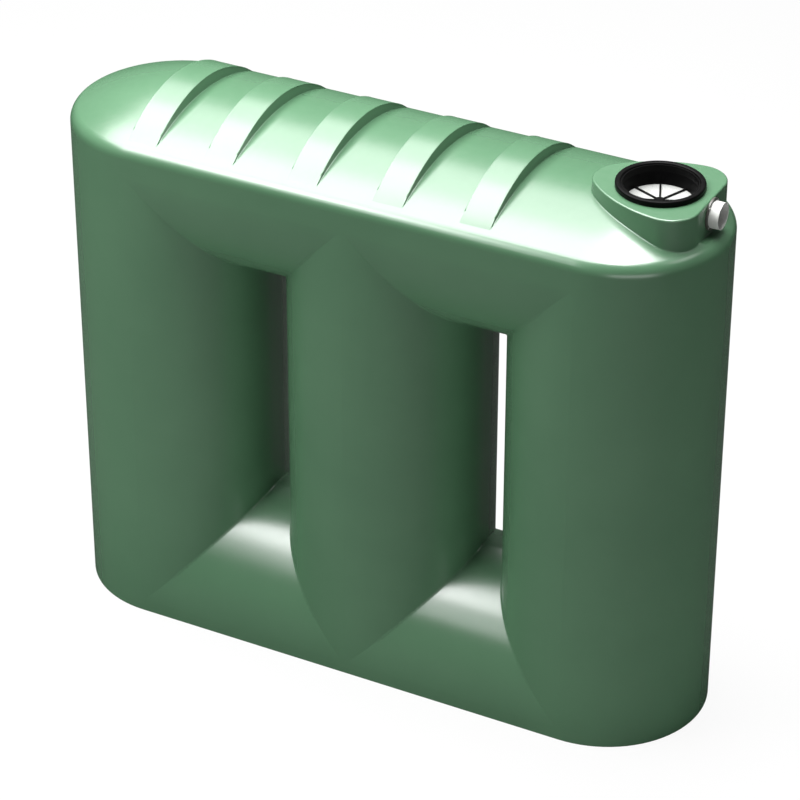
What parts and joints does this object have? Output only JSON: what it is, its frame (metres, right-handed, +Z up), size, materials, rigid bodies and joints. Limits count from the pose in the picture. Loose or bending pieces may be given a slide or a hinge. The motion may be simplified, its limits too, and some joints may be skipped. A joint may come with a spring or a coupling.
{
  "type": "slimline water tank",
  "caption": "Slimline rainwater tank with rounded ends, flared slots right through it, a ribbed roof, a leaf strainer and an overflow outlet.",
  "frame": {"origin": "centre of the tank's footprint, at its base", "axes": "+X along the tank towards the strainer and the overflow, -Y out of the front, +Z up"},
  "size_m": [2.4, 0.738, 2.02],
  "materials": {
    "tank_plastic": "smooth glossy polyethylene, dark green",
    "strainer_plastic": "satin black",
    "mesh_steel": "fine pale woven mesh",
    "outlet_plastic": "white smooth pipe plastic"
  },
  "bodies": {
    "root": {"floor_plate": "tank_plastic", "left_end_wall": "tank_plastic", "right_end_wall": "tank_plastic", "front_lower_band": "tank_plastic", "front_upper_band": "tank_plastic", "back_lower_band": "tank_plastic", "back_upper_band": "tank_plastic", "left_recess_outer_wall": "tank_plastic", "left_recess_inner_wall": "tank_plastic", "right_recess_inner_wall": "tank_plastic", "right_recess_outer_wall": "tank_plastic", "left_recess_sill": "tank_plastic", "left_recess_head": "tank_plastic", "right_recess_sill": "tank_plastic", "right_recess_head": "tank_plastic", "roof_rib_1": "tank_plastic", "roof_rib_2": "tank_plastic", "roof_rib_3": "tank_plastic", "roof_rib_4": "tank_plastic", "roof_rib_5": "tank_plastic", "roof_panel_1": "tank_plastic", "roof_panel_2": "tank_plastic", "roof_panel_3": "tank_plastic", "roof_panel_4": "tank_plastic", "roof_panel_5": "tank_plastic", "roof_left_end": "tank_plastic", "roof_right_end": "tank_plastic", "overflow_ledge": "tank_plastic", "turret_wall": "tank_plastic", "turret_top": "tank_plastic", "strainer_rim": "strainer_plastic", "strainer_basket": "strainer_plastic", "strainer_spider": "strainer_plastic", "strainer_mesh": "mesh_steel", "overflow_flange": "outlet_plastic", "overflow_pipe": "outlet_plastic"}
  },
  "joints": []
}
